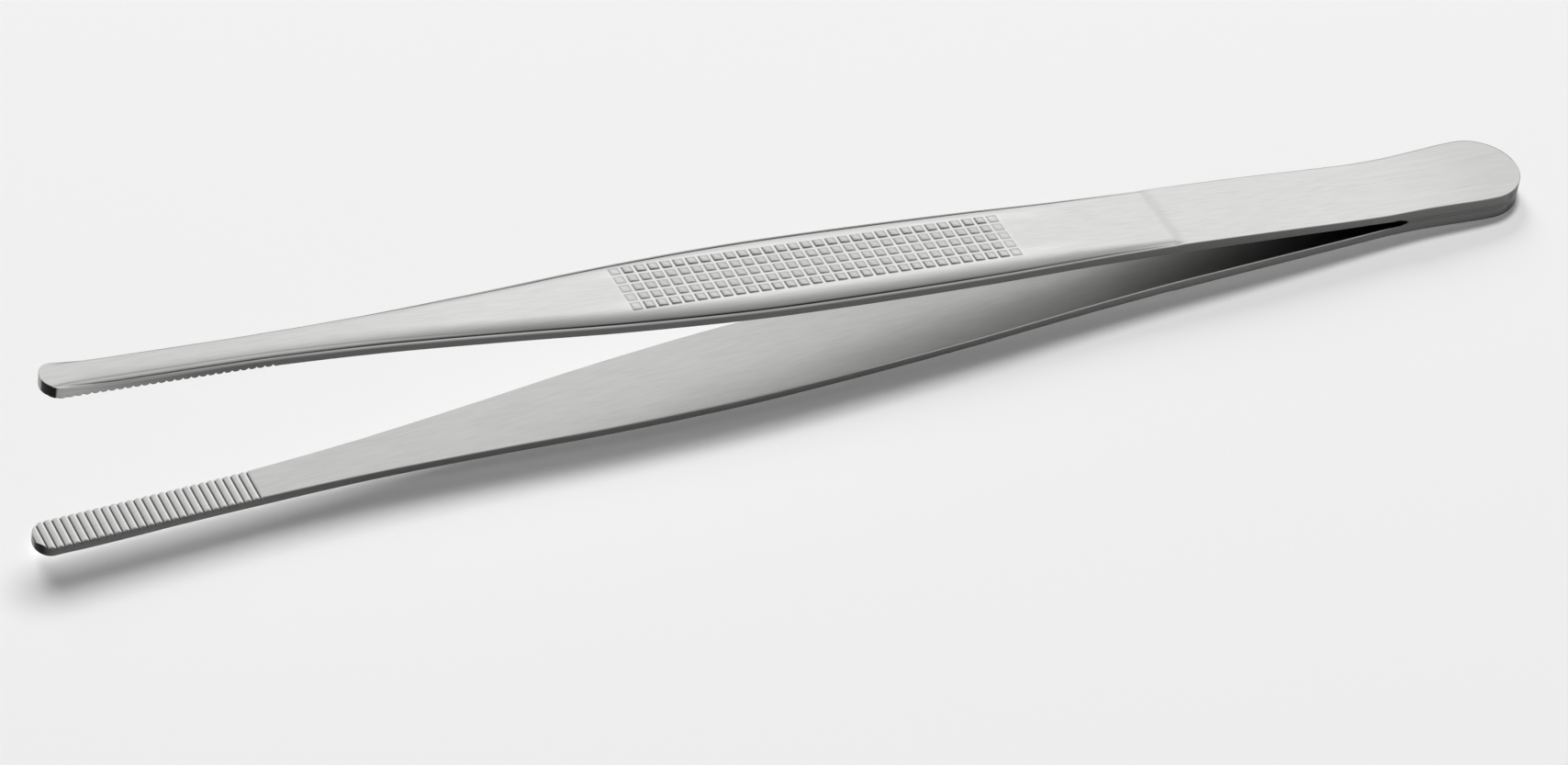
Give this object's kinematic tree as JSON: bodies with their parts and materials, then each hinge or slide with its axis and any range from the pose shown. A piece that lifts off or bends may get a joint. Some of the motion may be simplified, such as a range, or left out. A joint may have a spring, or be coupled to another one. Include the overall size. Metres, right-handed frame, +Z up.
{
  "type": "tweezers",
  "caption": "Long serving tweezers: two brushed steel arms, serrated jaws and knurled grips, joined at a round butt and sprung open.",
  "frame": {"origin": "centre of the bounding box's base, on the surface that the tool lies on", "axes": "+X from the jaw tips to the butt, +Y across the arms, +Z up; the tool lies on its lower arm, so the plane midway between the arms rises 3.5 degrees towards the tips"},
  "size_m": [0.2006, 0.0136, 0.0275],
  "materials": {
    "arm_steel": "satin, brushed lengthwise",
    "spring_steel": "satin, brushed lengthwise",
    "butt_steel": "satin, brushed lengthwise",
    "weld_metal": "ground flush and brushed"
  },
  "bodies": {
    "butt": {"upper_tang": "butt_steel", "lower_tang": "butt_steel", "weld_seam": "weld_metal", "upper_spring_leaf": "spring_steel", "lower_spring_leaf": "spring_steel"},
    "upper_arm_body": {"upper_arm": "arm_steel"},
    "lower_arm_body": {"lower_arm": "arm_steel"}
  },
  "joints": [
    {"name": "upper_arm_flex", "type": "hinge", "parent": "butt", "child": "upper_arm_body", "pos_m": [0.06416, 0, 0.00621], "axis": [0, -1, 0], "range_deg": [0, 4.03], "stiffness_Nm_per_rad": 6, "deforming": ["upper_spring_leaf"]},
    {"name": "lower_arm_flex", "type": "hinge", "parent": "butt", "child": "lower_arm_body", "pos_m": [0.06391, 0, 0.00202], "axis": [0, 1, 0], "range_deg": [0, 4.03], "stiffness_Nm_per_rad": 6, "deforming": ["lower_spring_leaf"]}
  ]
}
